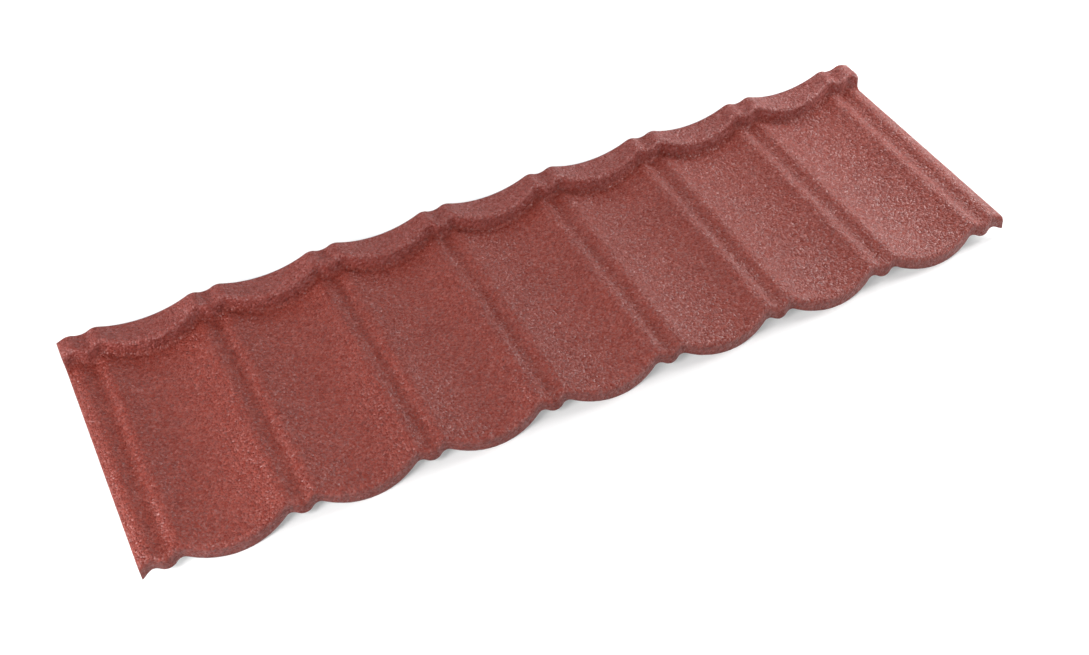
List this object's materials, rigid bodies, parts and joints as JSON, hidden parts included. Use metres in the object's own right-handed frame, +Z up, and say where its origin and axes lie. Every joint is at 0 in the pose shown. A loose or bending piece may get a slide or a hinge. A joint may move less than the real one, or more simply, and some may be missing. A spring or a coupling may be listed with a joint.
{
  "type": "tile effect roof panel",
  "caption": "Long pressed-metal roof panel with shallow tile pans between grooved ridges, a turned-down scalloped nose, a scalloped riser and a straight back flange, coated in stone chips.",
  "frame": {"origin": "centre of the panel's bounding box on the floor it lies on", "axes": "+X along the panel's length, +Y from the nose towards the back flange, +Z up"},
  "size_m": [1.33, 0.4224, 0.0401],
  "materials": {
    "stone_coated_steel": "matt brick-red stone-chip coat on galvanised steel sheet"
  },
  "bodies": {
    "root": {"roof_panel": "stone_coated_steel"}
  },
  "joints": []
}
